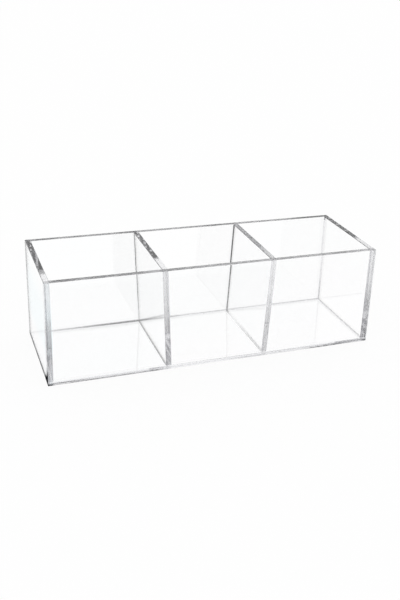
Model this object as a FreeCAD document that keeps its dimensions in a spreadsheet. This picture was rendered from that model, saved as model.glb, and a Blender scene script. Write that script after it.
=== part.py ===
"""Clear vanity organizer: an open-topped tray of cemented sheet, with two dividers making three compartments.

Millimetres, +Z up, +X along the tray, front towards -Y. The origin is the middle of the underside.
The base lies under everything. The front and back stand on it over the full length, the two ends stand
between them, and the two dividers stand between front and back, leaning in a little towards the foot.
Every joint is a plain butt joint, face against face.
"""

import FreeCAD, Part
import Sketcher
import os

# Driving sizes, one row of the sheet each
SIZES = (
    ("overall_length", 305.0),
    ("overall_depth", 103.0),
    ("overall_height", 94.5),
    ("wall_thickness", 5.0),
    ("divider_thickness", 5.0),
    ("base_thickness", 2.0),
    ("divider_spacing", 100.5),
    ("divider_foot_shift", 4.4),
    ("edge_break", 0.4),
)
# How near two coordinates lie to count as the same place
SAME_PLACE = 1e-4

doc = FreeCAD.newDocument("vanity_organizer")


def make_sheet():
    """The sheet of driving sizes, each in a cell with its own name."""
    sheet = doc.addObject("Spreadsheet::Sheet", "sizes")
    for row, (name, value) in enumerate(SIZES, start=1):
        sheet.set(f"A{row}", name)
        sheet.set(f"B{row}", str(value))
        sheet.setAlias(f"B{row}", name)
    doc.recompute()
    return sheet


sizes = make_sheet()


def new_body(label, **place):
    """An empty body with a name and a place; each place is an expression on the sheet."""
    body = doc.addObject("PartDesign::Body", label)
    body.Label = label
    for axis, expression in place.items():
        body.setExpression(f"Placement.Base.{axis}", expression)
    return body


def new_sketch(body, name, role):
    """An empty sketch on one of the body's own origin planes."""
    sketch = body.newObject("Sketcher::SketchObject", name)
    plane = next(item for item in body.Origin.OriginFeatures if item.Role == role)
    sketch.AttachmentSupport = (plane, [""])
    sketch.MapMode = "FlatFace"
    return sketch


def add_outline(sketch, corners):
    """A closed outline of straight lines through the corners, joined end to end."""
    points = [FreeCAD.Vector(x, y, 0) for x, y in corners]
    count = len(points)
    for i in range(count):
        sketch.addGeometry(Part.LineSegment(points[i], points[(i + 1) % count]), False)
    for i in range(count):
        sketch.addConstraint(Sketcher.Constraint("Coincident", i, 2, (i + 1) % count, 1))


def add_dimension(sketch, name, expression, *constraint):
    """A named dimension that follows an expression on the sheet."""
    index = sketch.addConstraint(Sketcher.Constraint(*constraint))
    sketch.renameConstraint(index, name)
    sketch.setExpression(f"Constraints.{name}", expression)


def add_pad(body, sketch, expression):
    """Pad the sketch by a length from the sheet."""
    pad = body.newObject("PartDesign::Pad", f"{body.Name}_pad")
    pad.Profile = sketch
    pad.setExpression("Length", expression)
    doc.recompute()
    return pad


def break_edges(body, feature, wanted):
    """Chamfer every edge of the feature that the test on its middle and direction picks out."""
    names = []
    for number, edge in enumerate(feature.Shape.Edges, start=1):
        middle = edge.CenterOfMass
        direction = edge.tangentAt(edge.FirstParameter)
        if wanted(middle, direction):
            names.append(f"Edge{number}")
    chamfer = body.newObject("PartDesign::Chamfer", f"{body.Name}_break")
    chamfer.Base = (feature, names)
    chamfer.setExpression("Size", "sizes.edge_break")
    doc.recompute()


def same(a, b):
    """Whether two coordinates are the same place."""
    return abs(a - b) < SAME_PLACE


def add_rectangle(sketch, width, depth):
    """A rectangle about the origin whose width and depth follow the sheet."""
    add_outline(sketch, ((-20, -10), (20, -10), (20, 10), (-20, 10)))
    for line in (0, 2):
        sketch.addConstraint(Sketcher.Constraint("Horizontal", line))
    for line in (1, 3):
        sketch.addConstraint(Sketcher.Constraint("Vertical", line))
    sketch.addConstraint(Sketcher.Constraint("Symmetric", 0, 1, 2, 1, -1, 1))
    add_dimension(sketch, "width", width, "DistanceX", 0, 1, 0, 2, 40.0)
    add_dimension(sketch, "depth", depth, "DistanceY", 1, 1, 1, 2, 20.0)


def upright_panel(label, width, depth, **place):
    """A rectangular panel that stands on the base and ends at the rim; returns its body and its pad."""
    body = new_body(label, z="sizes.base_thickness", **place)
    sketch = new_sketch(body, f"{label}_plan", "XY_Plane")
    add_rectangle(sketch, width, depth)
    return body, add_pad(body, sketch, "sizes.overall_height - sizes.base_thickness")


def make_base():
    """The base: the full footprint, with all its edges broken, so that its seams show as fine grooves."""
    body = new_body("base_panel")
    sketch = new_sketch(body, "base_panel_plan", "XY_Plane")
    add_rectangle(sketch, "sizes.overall_length", "sizes.overall_depth")
    pad = add_pad(body, sketch, "sizes.base_thickness")
    break_edges(body, pad, lambda middle, direction: True)
    return body


def make_long_wall(label, outward):
    """The front or back: full length, broken everywhere but along the inner rim and the inner foot."""
    side = f"{outward} * (sizes.overall_depth - sizes.wall_thickness) / 2"
    body, pad = upright_panel(label, "sizes.overall_length", "sizes.wall_thickness", y=side)
    box = pad.Shape.BoundBox
    inner = box.YMin if outward > 0 else box.YMax

    def wanted(middle, direction):
        along_inside = same(abs(direction.x), 1) and same(middle.y, inner)
        return not along_inside

    break_edges(body, pad, wanted)
    return body


def make_end_wall(label, outward):
    """An end: it stands between front and back, broken round its outer face and along its inner rim."""
    side = f"{outward} * (sizes.overall_length - sizes.wall_thickness) / 2"
    depth = "sizes.overall_depth - 2 * sizes.wall_thickness"
    body, pad = upright_panel(label, "sizes.wall_thickness", depth, x=side)
    box = pad.Shape.BoundBox
    outer = box.XMax if outward > 0 else box.XMin

    def wanted(middle, direction):
        along_rim = same(middle.z, box.ZMax) and same(abs(direction.y), 1)
        return along_rim or same(middle.x, outer)

    break_edges(body, pad, wanted)
    return body


def make_divider(label, side):
    """A leaning divider: a sheet whose head and foot are cut level, so that it sits flat on the base.

    Its profile is drawn for the left side, foot on the origin and head further out; the right one is
    the same piece turned half round.
    """
    foot = f"{side} * (sizes.divider_spacing / 2 - sizes.divider_foot_shift)"
    body = new_body(label, x=foot, z="sizes.base_thickness")
    if side > 0:
        body.Placement.Rotation = FreeCAD.Rotation(FreeCAD.Vector(0, 0, 1), 180)
    sketch = new_sketch(body, f"{label}_profile", "XZ_Plane")
    foot_line, inner_line, head_line, outer_line = range(4)
    add_outline(sketch, ((-2, 0), (2, 0), (-2, 90), (-6, 90)))
    for line in (foot_line, head_line):
        sketch.addConstraint(Sketcher.Constraint("Horizontal", line))
    sketch.addConstraint(Sketcher.Constraint("Parallel", inner_line, outer_line))
    sketch.addConstraint(Sketcher.Constraint("Symmetric", foot_line, 1, foot_line, 2, -1, 1))
    rise = "sizes.overall_height - sizes.base_thickness"
    add_dimension(sketch, "rise", rise, "DistanceY", foot_line, 1, head_line, 2, 90.0)
    add_dimension(sketch, "run", "sizes.divider_foot_shift", "DistanceX", head_line, 2, foot_line, 1, 4.0)
    add_dimension(sketch, "sheet", "sizes.divider_thickness", "Distance", foot_line, 2, outer_line, 4.0)
    pad = add_pad(body, sketch, "sizes.overall_depth - 2 * sizes.wall_thickness")
    pad.SideType = "Symmetric"
    doc.recompute()
    top = pad.Shape.BoundBox.ZMax
    break_edges(body, pad, lambda middle, direction: same(middle.z, top) and same(abs(direction.y), 1))
    return body


pieces = [
    make_base(),
    make_long_wall("front_panel", -1),
    make_long_wall("back_panel", 1),
    make_end_wall("left_end_panel", -1),
    make_end_wall("right_end_panel", 1),
    make_divider("left_divider", -1),
    make_divider("right_divider", 1),
]

# Check the whole document before anything is written
doc.recompute()
for item in doc.Objects:
    if "Invalid" in item.State or "Error" in item.State:
        raise RuntimeError(f"{item.Label} failed: {item.State}")
for piece in pieces:
    if piece.Shape.isNull() or not piece.Shape.isValid():
        raise RuntimeError(f"{piece.Label} has no valid shape")

os.makedirs("parts", exist_ok=True)
for piece in pieces:
    piece.Shape.exportStep(f"parts/{piece.Label}.step")
    box = piece.Shape.BoundBox
    span = " x ".join(f"{length:.2f}" for length in (box.XLength, box.YLength, box.ZLength))
    print(f"{piece.Label}: {span} mm, {piece.Shape.Volume / 1000:.2f} cm3")
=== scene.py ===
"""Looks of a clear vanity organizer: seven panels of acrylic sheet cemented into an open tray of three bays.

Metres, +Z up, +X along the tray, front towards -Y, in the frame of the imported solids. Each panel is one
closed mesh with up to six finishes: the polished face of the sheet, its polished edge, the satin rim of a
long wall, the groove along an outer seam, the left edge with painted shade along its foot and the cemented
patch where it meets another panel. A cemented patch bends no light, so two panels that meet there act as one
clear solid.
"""

import math

import bpy
import mathutils
import numpy as np
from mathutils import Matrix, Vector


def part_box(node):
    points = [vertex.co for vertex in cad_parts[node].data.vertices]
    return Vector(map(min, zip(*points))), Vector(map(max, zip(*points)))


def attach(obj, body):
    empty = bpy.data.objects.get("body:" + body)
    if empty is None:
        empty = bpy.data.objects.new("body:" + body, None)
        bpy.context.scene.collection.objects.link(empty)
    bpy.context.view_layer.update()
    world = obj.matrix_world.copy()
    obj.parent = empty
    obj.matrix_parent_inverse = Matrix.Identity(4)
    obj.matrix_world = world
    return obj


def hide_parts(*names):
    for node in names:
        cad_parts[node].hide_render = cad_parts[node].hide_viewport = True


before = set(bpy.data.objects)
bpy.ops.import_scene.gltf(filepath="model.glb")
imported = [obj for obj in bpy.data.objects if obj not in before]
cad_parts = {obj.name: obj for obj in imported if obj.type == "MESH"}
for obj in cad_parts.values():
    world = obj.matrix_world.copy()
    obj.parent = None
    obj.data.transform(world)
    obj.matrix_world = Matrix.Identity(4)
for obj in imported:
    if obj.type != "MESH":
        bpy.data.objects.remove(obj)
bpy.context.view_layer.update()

# Axes
X, Y, Z = range(3)

# What the solids share: the corner taken off each broken edge, the sheet of a divider and how far its foot
# stands nearer to the middle than its head
EDGE_BREAK = 0.0004
DIVIDER_SHEET = 0.005
DIVIDER_SHIFT = 0.0044

# The cement did not run under the right divider, which leaves a hair of air below its foot
DRY_FOOT = 0.00002

# How far up the left end the painted shade along its foot can reach
SHADE_UP = 0.012

# Places nearer than this are the same place, and cuts are rounded to so many decimals
SAME_PLACE = 1e-6
DECIMALS = 9

# How far outside the skin of a panel another one is looked for
PROBE = 1e-5

# Sizes from the frame
base_low, base_high = (np.array(corner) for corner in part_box("base_panel"))
front_high = np.array(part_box("front_panel")[1])
end_high = np.array(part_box("left_end_panel")[1])
FLOOR, DECK, TOP = base_low[Z], base_high[Z], front_high[Z]
HALF_LENGTH, HALF_DEPTH = base_high[X], base_high[Y]
INNER_END, INNER_WALL = -end_high[X], -front_high[Y]

# Where one panel's finish is told from another's: over the base, at the rims, at the left end, at the front
# edge, and beside a divider's middle
OVER_BASE = DECK + 0.00005
AT_RIM = TOP - 0.0045
AT_LEFT_END = 0.0005 - INNER_END
AT_FRONT_EDGE = 0.0005 - HALF_DEPTH
DIVIDER_MIDDLE = 0.05
BESIDE_DIVIDER = 0.02

# How near a place lies to a face to be on it
ON_FACE = 0.0001

# Index of acrylic
ACRYLIC_INDEX = 1.49

# How many times light may turn inside the panels
LIGHT_TURNS = 96

# The photograph in pixels: its size, the focal length of its lens and the point that the lens looks at
PHOTO_WIDTH, PHOTO_HEIGHT = 400, 600
FOCAL_LENGTH = 842.52
CENTRE_ACROSS, CENTRE_DOWN = 243.805, 275.339

# Sides of a panel, as axis and end
LEFT, RIGHT, FRONT, BACK, UNDER, RIM = (X, 0), (X, 1), (Y, 0), (Y, 1), (Z, 0), (Z, 1)
SIDES = (LEFT, RIGHT, FRONT, BACK, UNDER, RIM)

# Finishes, by material slot
FACE, EDGE, SATIN, GROOVE, SHADED_LEFT, JOINT = range(6)


# Panels


def panel_plans():
    """Each panel as its sheet axis, its ends along x at foot and head, its y and z ends and its broken edges.

    A leaning panel has ends at the head that differ from those at the foot, and an upright one has the same
    pair twice. A panel with painted shade on its left edge is cut once more, above the painted shade along
    its foot.
    """
    rise = TOP - DECK
    level_sheet = DIVIDER_SHEET * (math.hypot(DIVIDER_SHIFT, rise) / rise)
    # The box ends at the foot of the head's broken edge, so the whole head would lean out a little further
    head = np.abs(np.array(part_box("right_divider"))[:, X]).max()
    head_pair = np.array((head - level_sheet, head)) + EDGE_BREAK * DIVIDER_SHIFT / rise
    foot_pair = head_pair - DIVIDER_SHIFT
    end_pair = np.array((INNER_END, HALF_LENGTH))
    left_end_pair = -end_pair[::-1]
    long_pair = np.array((-HALF_LENGTH, HALF_LENGTH))
    upright_corners = [(a, b) for a in (LEFT, RIGHT) for b in (FRONT, BACK)]

    def round_edges(level, sides):
        return [(side, level) for side in sides]

    def panel(sheet, foot, head, y, z, broken, shaded_left=False):
        return dict(sheet=sheet, foot=foot, head=head, y=y, z=z, broken=broken, shaded_left=shaded_left)

    def long_wall(outer, near, far):
        around = (LEFT, RIGHT, outer)
        broken = upright_corners + round_edges(RIM, around) + round_edges(UNDER, around)
        return panel(Y, long_pair, long_pair, (near, far), (DECK, TOP), broken)

    def cross_wall(foot, head, outer=None, dry=0.0):
        broken = round_edges(RIM, (LEFT, RIGHT))
        if outer:
            broken += [(outer, UNDER), (outer, FRONT), (outer, BACK)]
        ends = (-INNER_WALL, INNER_WALL)
        return panel(X, foot, head, ends, (DECK + dry, TOP), broken, shaded_left=outer == LEFT)

    around = (LEFT, RIGHT, FRONT, BACK)
    base_edges = upright_corners + round_edges(UNDER, around) + round_edges(RIM, around)
    return {
        "base_panel": panel(Z, long_pair, long_pair, (-HALF_DEPTH, HALF_DEPTH), (FLOOR, DECK), base_edges),
        "front_panel": long_wall(FRONT, -HALF_DEPTH, -INNER_WALL),
        "back_panel": long_wall(BACK, INNER_WALL, HALF_DEPTH),
        "left_end_panel": cross_wall(left_end_pair, left_end_pair, LEFT),
        "right_end_panel": cross_wall(end_pair, end_pair, RIGHT),
        "left_divider": cross_wall(-foot_pair[::-1], -head_pair[::-1]),
        "right_divider": cross_wall(foot_pair, head_pair, dry=DRY_FOOT),
    }


def cuts(ends, others, own):
    """Places where a panel is cut along one axis: its ends, its own cuts and its neighbours' ends between."""
    low, high = ends
    inside = [value for value in others if low + SAME_PLACE < value < high - SAME_PLACE]
    return np.unique(np.round([low, high, *inside, *own], DECIMALS))


def lattice(plan, plans):
    """Points of a panel's lattice, x by y by z: x runs straight from its foot to its head value as z rises.

    Along x the cuts are the panel's own ends, its breaks and the ends of every panel that stands against it,
    each as a pair of foot and head values, so that a leaning neighbour leaves a leaning patch.
    """
    low, high = plan["z"]
    own = {axis: [] for axis in (X, Y, Z)}
    for axis, end in {side for pair in plan["broken"] for side in pair}:
        pair = (plan["foot"], plan["y"], plan["z"])[axis]
        own[axis].append(pair[end] + (-EDGE_BREAK if end else EDGE_BREAK))
    if plan["shaded_left"]:
        own[Z].append(low + SHADE_UP)
    y = cuts(plan["y"], [end for other in plans.values() for end in other["y"]], own[Y])
    z = cuts(plan["z"], [end for other in plans.values() for end in other["z"]], own[Z])
    ends = np.stack([plan["foot"], plan["head"]], axis=1)
    if plan["sheet"] == X:
        pairs = [ends, ends + np.array([[EDGE_BREAK], [-EDGE_BREAK]])]
    else:
        pairs = [np.stack([other["foot"], other["head"]], axis=1) for other in plans.values()]
        pairs += [np.array([[value, value]]) for value in own[X]]
    pairs = np.unique(np.round(np.concatenate(pairs), DECIMALS), axis=0)
    pairs = pairs[(pairs[:, 0] > ends[0, 0] - SAME_PLACE) & (pairs[:, 0] < ends[1, 0] + SAME_PLACE)]
    rise = np.zeros_like(z) if plan["sheet"] == Z else (z - low) / (high - low)
    points = np.empty((len(pairs), len(y), len(z), 3))
    points[..., X] = (pairs[:, :1] + (pairs[:, 1:] - pairs[:, :1]) * rise)[:, None, :]
    points[..., Y] = y[None, :, None]
    points[..., Z] = z[None, None, :]
    return points


def on_side(shape, side):
    """Lattice points that lie on one side of the block: the first or last layer along that side's axis."""
    axis, end = side
    mask = np.zeros(shape, bool)
    layer = [slice(None)] * 3
    layer[axis] = -1 if end else 0
    mask[tuple(layer)] = True
    return mask


def break_edges(points, broken):
    """Draw the points on each broken edge half a break in from both its sides, which leaves a flat bevel."""
    shape = points.shape[:3]
    drawn = np.zeros(points.shape)
    for pair in broken:
        both = on_side(shape, pair[0]) & on_side(shape, pair[1])
        for axis, end in pair:
            drawn[both, axis] = -EDGE_BREAK / 2 if end else EDGE_BREAK / 2
    return points + drawn, drawn != 0


def side_quads(numbers, side):
    """One side of the lattice as quads facing outwards, each between neighbours both ways on its grid."""
    axis, end = side
    grid = np.take(numbers, -1 if end else 0, axis=axis)
    quads = np.stack([grid[:-1, :-1], grid[1:, :-1], grid[1:, 1:], grid[:-1, 1:]], axis=-1).reshape(-1, 4)
    faces_out = (end == 1) != (axis == Y)
    return quads if faces_out else quads[:, ::-1]


def outward(side, length):
    """A step of a length straight out of a side."""
    axis, end = side
    step = np.zeros(3)
    step[axis] = length if end else -length
    return step


def risen(plan, places):
    """How far up a panel each place lies, as a share of its height."""
    low, high = plan["z"]
    return (places[..., Z] - low) / (high - low)


def sheet_offset(plan, places):
    """How far each place lies from the middle of a panel's sheet, across its thickness."""
    sheet = plan["sheet"]
    if sheet == X:
        foot, head = np.mean(plan["foot"]), np.mean(plan["head"])
        return places[..., X] - foot - (head - foot) * risen(plan, places)
    return places[..., sheet] - np.mean(plan["y"] if sheet == Y else plan["z"])


def holds(plan, places):
    """Which places lie inside a panel: between its leaning ends along x and its level ends along y and z."""
    ends = plan["foot"] + (plan["head"] - plan["foot"]) * risen(plan, places)[..., None]
    inside = (places[..., X] > ends[..., 0]) & (places[..., X] < ends[..., 1])
    for axis, (low, high) in ((Y, plan["y"]), (Z, plan["z"])):
        inside &= (places[..., axis] > low) & (places[..., axis] < high)
    return inside


def beside(plans, name, places, reach):
    """Which places have another panel within reach along one of the three axes."""
    near = np.zeros(len(places), bool)
    for side in SIDES:
        for other_name, other in plans.items():
            if other_name != name:
                near |= holds(other, places + outward(side, reach))
    return near


def bare_finish(plans, name, side, middle, bevel):
    """Finish of each quad on one side of a panel as if nothing were cemented to it.

    A quad on a broken edge lines a groove where another panel stands beside it. The other quads are a face on
    the two flats of the sheet, satin at the rim of a long wall and an edge elsewhere. On the outer left,
    edges, grooves and what lies low down take the finish with painted shade.
    """
    plan = plans[name]
    crosses = SATIN if side == RIM and plan["sheet"] == Y else EDGE
    broken = np.where(beside(plans, name, middle, EDGE_BREAK), GROOVE, crosses)
    kind = np.where(bevel, broken, FACE if side[0] == plan["sheet"] else crosses)
    if side == LEFT:
        outer = middle[:, X] < EDGE_BREAK - HALF_LENGTH
        low_down = middle[:, Z] < plan["z"][0] + SHADE_UP
        kind = np.where(outer & ((kind == EDGE) | (kind == GROOVE) | low_down), SHADED_LEFT, kind)
    return kind


def along_and_across(plan, side, corners):
    """Spots on one side, in metres: along the joint or edge, and across the sheet that ends there."""
    along = next(axis for axis in (X, Y, Z) if axis not in (side[0], plan["sheet"]))
    return np.stack([corners[..., along], sheet_offset(plan, corners)], axis=-1)


def dress_side(plans, name, side, corners, bevel):
    """Finish of each quad on one side of a panel, and the spots of its corners.

    A quad is cemented where a hair outside its middle lies another panel. Its spots then follow the sheet
    that ends there. The spots of a face are the two coordinates of its plane, and those of an edge follow its
    own sheet.
    """
    plan, middle = plans[name], corners.mean(axis=1)
    kind = bare_finish(plans, name, side, middle, bevel)
    flat_spot = corners[..., [axis for axis in (X, Y, Z) if axis != side[0]]]
    spot = np.where((kind == FACE)[:, None, None], flat_spot, along_and_across(plan, side, corners))
    for other_name, other in plans.items():
        if other_name != name:
            meets = holds(other, middle + outward(side, PROBE)) & ~bevel
            kind = np.where(meets, JOINT, kind)
            if side[0] == plan["sheet"]:
                spot = np.where(meets[:, None, None], along_and_across(other, side, corners), spot)
    return kind, spot


def make_panel(name, plans, finishes):
    """A panel as the outer skin of its lattice, made side by side, with finishes and a map of spots."""
    plan = plans[name]
    points, drawn = break_edges(lattice(plan, plans), plan["broken"])
    numbers = np.arange(drawn[..., 0].size).reshape(drawn.shape[:3])
    points, drawn = points.reshape(-1, 3), drawn.reshape(-1, 3)
    quads, kinds, spots = [], [], []
    for side in SIDES:
        faces = side_quads(numbers, side)
        bevel = drawn[faces][..., side[0]].any(axis=1)
        kind, spot = dress_side(plans, name, side, points[faces], bevel)
        quads.append(faces)
        kinds.append(kind)
        spots.append(spot)
    quads, kinds, spots = (np.concatenate(parts) for parts in (quads, kinds, spots))
    used, quads = np.unique(quads, return_inverse=True)
    mesh = bpy.data.meshes.new(name + "_sheet")
    mesh.from_pydata(points[used], [], quads.reshape(-1, 4))
    mesh.polygons.foreach_set("material_index", kinds.astype(np.int32))
    layer = mesh.uv_layers.new(name="along_and_across")
    layer.uv.foreach_set("vector", spots.astype(np.float32).ravel())
    for material in finishes:
        mesh.materials.append(material)
    mesh.update()
    panel = bpy.data.objects.new(name + "_sheet", mesh)
    bpy.context.scene.collection.objects.link(panel)
    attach(panel, "root")
    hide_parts(name)


# Finishes


class Wire:
    """A socket of a node tree: sums on wires add Math nodes, and add() puts in any other node."""

    def __init__(self, tree, socket=None):
        self.tree = tree
        self.socket = socket

    def add(self, kind, settings, sockets, output=0):
        """A node of a kind, with its settings made before its sockets' values or links; gives one output."""
        node = self.tree.nodes.new(kind)
        for name, value in settings.items():
            setattr(node, name, value)
        for name, value in sockets.items():
            if isinstance(value, Wire):
                self.tree.links.new(value.socket, node.inputs[name])
            else:
                node.inputs[name].default_value = value
        return Wire(self.tree, None if output is None else node.outputs[output])

    def sum(self, operation, first, second):
        """A Math node on two values."""
        return self.add("ShaderNodeMath", {"operation": operation}, {0: first, 1: second})

    def __add__(self, other):
        return self.sum("ADD", self, other)

    def __radd__(self, other):
        return self.sum("ADD", other, self)

    def __sub__(self, other):
        return self.sum("SUBTRACT", self, other)

    def __rsub__(self, other):
        return self.sum("SUBTRACT", other, self)

    def __mul__(self, other):
        return self.sum("MULTIPLY", self, other)

    def __rmul__(self, other):
        return self.sum("MULTIPLY", other, self)

    def __pow__(self, other):
        return self.sum("POWER", self, other)

    def __rpow__(self, other):
        return self.sum("POWER", other, self)

    def __gt__(self, other):
        return self.sum("GREATER_THAN", self, other)

    def __lt__(self, other):
        return self.sum("LESS_THAN", self, other)

    def size(self):
        """The value without its sign."""
        return self.sum("ABSOLUTE", self, 0.0)

    def between(self, low, high, first=0.0, last=1.0):
        """A smooth step from first at low to last at high."""
        values = {"Value": self, "From Min": low, "From Max": high, "To Min": first, "To Max": last}
        return self.add("ShaderNodeMapRange", {"interpolation_type": "SMOOTHSTEP"}, values)

    def place(self):
        """Places in the tray's own frame."""
        return self.add("ShaderNodeTexCoord", {}, {}, "Object")

    def spot(self):
        """Spots along a joint or edge and across its sheet."""
        return self.add("ShaderNodeUVMap", {"uv_map": "along_and_across"}, {}, "UV")

    def part(self, name):
        """One part of a vector."""
        return self.add("ShaderNodeSeparateXYZ", {}, {0: self}, name)

    def parts(self):
        """The three parts of a vector."""
        return (self.part(axis) for axis in "XYZ")

    def noise(self, scale, detail=2.0):
        """Cloudy noise on these coordinates, about 0.5."""
        return self.add("ShaderNodeTexNoise", {}, {"Vector": self, "Scale": scale, "Detail": detail})

    def stretched(self, scale):
        """These coordinates times a vector."""
        return self.add("ShaderNodeVectorMath", {"operation": "MULTIPLY"}, {0: self, 1: scale})

    def blend(self, first, second):
        """From the first colour to the second as this goes from 0 to 1."""
        return self.add("ShaderNodeMix", {"data_type": "RGBA"}, {0: self, 6: first, 7: second}, 2)

    def mix(self, first, second):
        """From the first shader to the second as this goes from 0 to 1."""
        return self.add("ShaderNodeMixShader", {}, {0: self, 1: first, 2: second})


def grey(level, blue=0.0):
    """An opaque grey, with some more blue in it."""
    return (level, level, level + blue, 1.0)


WHITE = grey(1.0)
# Near black, the colour of the painted shade on faces and edges
NEAR_BLACK = grey(0.02, blue=0.005)


def start_tree(owner):
    """An empty node tree of a material or world, as a wire to add nodes with."""
    owner.use_nodes = True
    owner.node_tree.nodes.clear()
    return Wire(owner.node_tree)


def make_finish(surface):
    """A material that has the name of the function that makes its surface."""
    material = bpy.data.materials.new(surface.__name__)
    wire = start_tree(material)
    wire.add("ShaderNodeOutputMaterial", {}, {"Surface": surface(wire)}, None)
    return material


def bumped(height, distance):
    """A normal that follows a height given in metres times distance."""
    values = {"Height": height, "Distance": distance, "Strength": 1.0}
    return height.add("ShaderNodeBump", {}, values, "Normal")


def clear_sheet(wire, colour, roughness, normal):
    """Clear acrylic: a body that bends light by its own index."""
    values = {
        "Base Color": colour,
        "Roughness": roughness,
        "IOR": ACRYLIC_INDEX,
        "Transmission Weight": 1.0,
        "Normal": normal,
    }
    return wire.add("ShaderNodeBsdfPrincipled", {}, values, "BSDF")


def edge_dents(place):
    """The slow dents of a polished edge."""
    return place.noise(330.0)


def edge_tint(dents):
    """The tint of a polished edge: a faint grey of painted shade, a little deeper in its dents."""
    return dents.between(0.35, 0.7).blend(grey(0.95, blue=0.015), grey(0.985, blue=0.005))


def beside_divider(along):
    """Where a place along the tray lies by one of the dividers."""
    return (along.size() - DIVIDER_MIDDLE).size() < BESIDE_DIVIDER


def polished_face(wire):
    """The cast face: clear, with a slow ripple, a trace of blue and a cool cast on the left end.

    Painted shade, near black, lies in a thin band along the foot of the dividers, of the back wall and of the
    right end.
    """
    place = wire.place()
    along, back, rise = place.parts()
    of_divider = beside_divider(along) * (back.size() < INNER_WALL - ON_FACE)
    of_back = (back - INNER_WALL).size() < ON_FACE
    of_right_end = (along - INNER_END).size() < ON_FACE
    # Painted shade: a thin near-black band along the foot of the walls, where they stand on the base
    divider_foot_shade = of_divider * along.between(0.02, -0.02, back.between(0.03, -0.02, 0.15, 0.66), 0.95)
    back_foot_shade = of_back * along.between(-0.14, -0.07, 0.25, 0.9) * along.between(0.0, -0.03, 0.15, 1.0)
    wall_foot_shade = back_foot_shade + of_right_end * 0.25
    painted_foot_shade = rise.between(0.0036, 0.0026) * divider_foot_shade + rise.between(0.005, 0.0032) * wall_foot_shade
    cool = (along < AT_LEFT_END) * rise.between(0.09, 0.06) * rise.between(0.02, 0.035)
    sheet = place.noise(9.0, 1.0).between(0.35, 0.65)
    tint = sheet.blend((0.995, 0.999, 1.0, 1.0), (0.999, 0.998, 1.0, 1.0))
    tint = cool.blend(tint, (0.92, 0.985, 1.0, 1.0))
    tint = ((rise > OVER_BASE) * painted_foot_shade).blend(tint, NEAR_BLACK)
    haze = place.noise(60.0, 3.0).between(0.45, 0.75, 0.0, 0.012)
    ripple = place.noise(22.0, 1.0)
    return clear_sheet(wire, tint, haze, bumped(ripple, distance=0.00002))


def polished_edge(wire):
    """The polished edge: fine saw marks across it that the polish left, and slow dents that mottle it.

    The front edge of the base has patches of painted shade. Some rims of the ends and dividers are darkened
    with painted shade, and those of the dividers are frosted.
    """
    place = wire.place()
    along, back, rise = place.parts()
    marks = wire.spot().stretched((1.0, 0.12, 1.0)).noise(900.0)
    dents = edge_dents(place)
    of_base = rise < OVER_BASE
    of_rim = rise > AT_RIM
    of_left_divider = (along + DIVIDER_MIDDLE).size() < BESIDE_DIVIDER
    near_left_end = along < -0.14

    # Painted shade in patches along the front edge of the base
    left_edge_shade = along.between(-0.045, -0.06, 0.0, 0.66) * along.between(-0.12, -0.145, 1.0, 0.55)
    mid_edge_shade = along.between(0.0, 0.03, 0.0, 0.4) * along.between(0.052, 0.044)
    right_edge_shade = along.between(0.075, 0.1, 0.0, 0.75) * along.between(0.115, 0.132, 1.0, 0.3)
    corner_edge_shade = along.size().between(0.1455, 0.15, 0.0, 0.6)
    edge_shades = (right_edge_shade + mid_edge_shade + left_edge_shade + corner_edge_shade) * dents.between(0.3, 0.7, 0.85, 1.15)
    front_edge_shade = of_base * (back < AT_FRONT_EDGE) * edge_shades

    # Painted shade on some rims of the ends and dividers
    end_rim_shade = back.between(-0.0345, -0.03) * back.between(-0.016, -0.008, 0.75, 0.55)
    divider_rim_shade = back.between(-0.0235, -0.0185) * back.between(0.0, -0.008, 0.0, 0.6)
    left_rim_shade = near_left_end * end_rim_shade + of_left_divider * divider_rim_shade
    right_rim_shade = along.between(0.06, 0.145) * back.between(-0.025, -0.005, 0.3, 0.75)
    rim_shade = of_rim * (right_rim_shade + left_rim_shade)

    tint = (front_edge_shade + rim_shade).between(0.0, 1.0).blend(edge_tint(dents), NEAR_BLACK)
    frost = of_rim * beside_divider(along) * along.between(-0.02, 0.02, 0.1, 0.25)
    gloss = marks.between(0.4, 0.8, 0.0, 0.03) + frost
    height = (marks * 0.35 + dents) * (1.0 - of_base * 0.8)
    return clear_sheet(wire, tint, gloss, bumped(height, distance=0.00004))


def satin_rim(wire):
    """The rim of a long wall, planed level and left satin with a fine grain along it: a grey that is partly
    its satin finish and partly painted shade.

    Painted shade darkens the front rim towards the left, and the back rim towards both ends.
    """
    spot, place = wire.spot(), wire.place()
    along, front = place.part("X"), place.part("Y").between(0.02, -0.02)
    grain = spot.stretched((0.15, 1.0, 1.0)).noise(1500.0, 3.0)
    wear = spot.stretched((1.0, 0.5, 1.0)).noise(40.0)
    inner = along.between(-0.0015 - INNER_END, -INNER_END)
    ends = along.between(0.09, 0.14, 0.0, 1.1) + along.between(-0.05, -0.12, 0.0, 0.45)
    # Painted shade: the front rim darker towards the left, the back rim towards both ends
    satin_shade = front * inner * along.between(0.04, -0.08, 0.38, 0.8) + (1.0 - front) * ends
    # Grain and wear of the satin, less the painted shade
    mottle = (grain * 0.5 + wear * 0.5).between(0.35, 0.65) - satin_shade
    tint = mottle.between(-0.7, 1.0).blend(grey(0.1, blue=0.005), grey(0.82, blue=0.01))
    matt = wear.between(0.3, 0.7, 0.22, 0.32)
    return clear_sheet(wire, tint, matt, bumped(grain, distance=0.00001))


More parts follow.
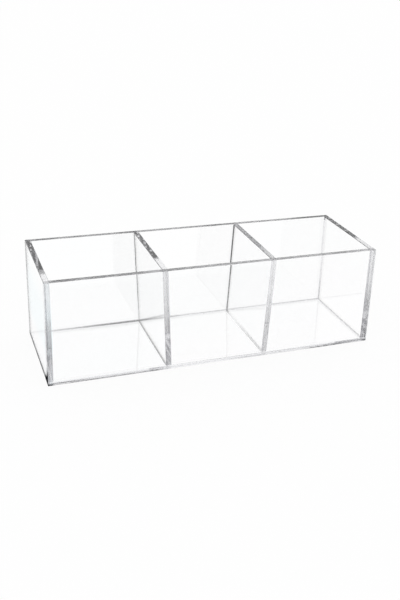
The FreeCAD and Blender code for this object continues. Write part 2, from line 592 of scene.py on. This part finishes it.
def seam_groove(wire):
    """The groove left along an outer seam by the broken edges: rough, with a grey trace in it.

    The trace is strongest low down in the front corners.
    """
    place = wire.place()
    along, back, rise = place.parts()
    outer_front = along.size().between(0.09, 0.145) * back.between(0.02, -0.02)
    low = rise.between(0.02, 0.003, 0.3, 1.0)
    trace = place.noise(45.0, 3.0).between(0.3, 0.7) * 0.3 + outer_front * low * 0.7
    tint = trace.between(0.1, 1.0).blend(grey(0.8, blue=0.02), grey(0.08, blue=0.005))
    matt = trace.between(0.0, 1.0, 0.1, 0.3)
    pits = place.noise(700.0)
    return clear_sheet(wire, tint, matt, bumped(pits, distance=0.00003))


def shaded_left_edge(wire):
    """The left edges: polished, with near-black painted shade along the foot that gathers in the front
    corner.

    The painted shade is a line along the foot, a wedge in the corner and the low part of the front wall's
    edge.
    It shows only from outside. The edge of the back wall is grey.
    """
    place = wire.place()
    back, rise = place.part("Y"), place.part("Z")
    dents = edge_dents(place)
    patchy = place.noise(90.0).between(0.3, 0.7, 0.75, 1.0)
    of_base = rise < OVER_BASE
    end_line = (1.0 - of_base) * rise.between(0.0066, 0.0034, 0.0, 0.65)
    base_line = of_base * back.between(-0.035, -0.047, 0.5, 1.0)
    front_edge = (back < -INNER_WALL) * rise.between(0.02, 0.008)
    wedge = back.between(-0.036, -0.046) * rise.between(0.0098, 0.0048)
    outside = 1.0 - wire.add("ShaderNodeNewGeometry", {}, {}, "Backfacing")
    # Painted shade: near black where this is full, seen from outside only
    left_shade = ((end_line + base_line) * patchy + front_edge + wedge).between(0.0, 1.0) * outside
    tint = (back > INNER_WALL - ON_FACE).blend(edge_tint(dents), grey(0.28, blue=0.005))
    polish = clear_sheet(wire, tint, roughness=0.0, normal=bumped(dents, distance=0.000005))
    # A matt near-black surface that is painted shade
    cement = wire.add("ShaderNodeBsdfDiffuse", {}, {"Color": grey(0.012, blue=0.003)})
    return left_shade.mix(polish, cement)


def cemented_joint(wire):
    """Solvent cement between two panels: clear, with a faint cloudy haze, and darker along its two borders
    and low down an upright joint, which is painted shade.

    Painted shade gathers at the foot of the left divider and of the right end, and halfway up the front of
    the left end. A level joint has painted shade only under the back wall.
    """
    place = wire.place()
    along, back, rise = place.parts()
    border = wire.spot().part("Y").size().between(0.0014, 0.0025)
    cloud = place.noise(120.0, 3.0).between(0.35, 0.75)
    low = rise.between(0.09, 0.005)
    upright = rise > 0.0025
    left_divider = along.between(-0.04, -0.052) * along.between(-0.07, -0.055)
    right_end = along.between(0.146, 0.148)
    left_front = (along < AT_LEFT_END) * (back < 0.0)
    # Painted shade along the borders and low down, with a faint cloudy haze
    wall = border * 0.115 + cloud * 0.045 + low * 0.053 + low ** 4.0 * 0.09
    wall += left_front * rise.between(0.062, 0.052) * rise.between(0.012, 0.03) * 0.17
    wall += left_divider * rise.between(0.03, 0.006, 0.045, 0.22)
    wall += right_end * rise.between(0.035, 0.012, 0.02, 0.18)
    # Painted shade in the level joint under the back wall, where shade falls at its foot
    foot = (back > INNER_WALL - ON_FACE) * 0.03
    # Mostly painted shade, with a faint cloudy haze
    haze = upright * wall + (1.0 - upright) * foot
    clear = wire.add("ShaderNodeBsdfTransparent", {}, {"Color": grey(0.97, blue=0.005)})
    haze_and_shade = wire.add("ShaderNodeBsdfTransparent", {}, {"Color": grey(0.15, blue=0.015)})
    return haze.mix(clear, haze_and_shade)


# Studio


def pale_floor(wire):
    """A white floor that glows. Light that has come through the panels sees the white studio beyond it."""
    matt_share = 0.06
    glow = wire.add("ShaderNodeEmission", {}, {"Color": WHITE, "Strength": 1.0})
    matt = wire.add("ShaderNodeBsdfDiffuse", {}, {"Color": grey(0.9)})
    lit = wire.add("ShaderNodeMixShader", {}, {0: matt_share, 1: glow, 2: matt})
    beyond = wire.add("ShaderNodeBsdfTransparent", {}, {})
    come_through = wire.add("ShaderNodeLightPath", {}, {}, "Is Transmission Ray")
    return come_through.mix(lit, beyond)


def make_floor():
    """A wide square floor, a hair below the tray."""
    reach, drop = 4.0, 0.0003
    square = np.array([(-1, -1, 0), (1, -1, 0), (1, 1, 0), (-1, 1, 0)])
    mesh = bpy.data.meshes.new("floor")
    mesh.from_pydata(square * reach - (0.0, 0.0, drop), [], [(0, 1, 2, 3)])
    mesh.materials.append(make_finish(pale_floor))
    floor = bpy.data.objects.new("floor", mesh)
    bpy.context.scene.collection.objects.link(floor)


def studio_world():
    """A white studio, dark on the side the tray is photographed from.

    Only light that has been turned round inside the sheet shows that side, which draws the edges dark.
    """
    world = bpy.data.worlds.new("studio")
    bpy.context.scene.world = world
    wire = start_tree(world)
    turned = wire.add("ShaderNodeLightPath", {}, {}, "Glossy Depth") > 1.5
    ahead = wire.add("ShaderNodeTexCoord", {}, {}, "Generated").part("Y")
    dark = ahead.between(-0.85, -0.6, 0.5, 0.0) + ahead.between(-0.6, 0.5, 0.5, 0.0)
    colour = (turned * dark).blend(WHITE, grey(0.04, blue=0.005))
    light = wire.add("ShaderNodeBackground", {}, {"Color": colour, "Strength": 1.0})
    wire.add("ShaderNodeOutputWorld", {}, {"Surface": light}, None)


def set_camera():
    """The view of the photograph: a point aimed at, a distance, three angles and a shift of the lens."""
    turn, tip, roll = np.radians((22.816, 22.789, 3.122))
    aim, away = np.array((0.042167, 0.0, 0.059617)), 0.800003
    ahead = np.array((math.sin(turn) * math.cos(tip), math.cos(turn) * math.cos(tip), -math.sin(tip)))
    level = np.array((math.cos(turn), -math.sin(turn), 0.0))
    upward = np.cross(level, ahead)
    right = math.cos(roll) * level + math.sin(roll) * upward
    up = math.cos(roll) * upward - math.sin(roll) * level
    lens = bpy.data.cameras.new("camera")
    lens.sensor_fit = "VERTICAL"
    lens.sensor_height = 36.0
    lens.lens = lens.sensor_height * FOCAL_LENGTH / PHOTO_HEIGHT
    lens.shift_x = (PHOTO_WIDTH / 2 - CENTRE_ACROSS) / PHOTO_HEIGHT
    lens.shift_y = (CENTRE_DOWN - PHOTO_HEIGHT / 2) / PHOTO_HEIGHT
    lens.clip_start = 0.01
    camera = bpy.data.objects.new("camera", lens)
    place = mathutils.Matrix(np.column_stack([right, up, -ahead]).tolist()).to_4x4()
    place.translation = aim - away * ahead
    camera.matrix_world = place
    bpy.context.scene.collection.objects.link(camera)
    bpy.context.scene.camera = camera


def set_light_paths():
    """Room for light to run down the inside of a panel, turned back many times by its faces."""
    scene = bpy.context.scene
    scene.view_settings.view_transform = "Standard"
    scene.cycles.max_bounces = LIGHT_TURNS
    scene.cycles.transmission_bounces = LIGHT_TURNS
    scene.cycles.glossy_bounces = LIGHT_TURNS
    scene.cycles.transparent_max_bounces = LIGHT_TURNS


plans = panel_plans()
surfaces = (polished_face, polished_edge, satin_rim, seam_groove, shaded_left_edge, cemented_joint)
finishes = [make_finish(surface) for surface in surfaces]
for name in plans:
    make_panel(name, plans, finishes)
make_floor()
studio_world()
set_camera()
set_light_paths()
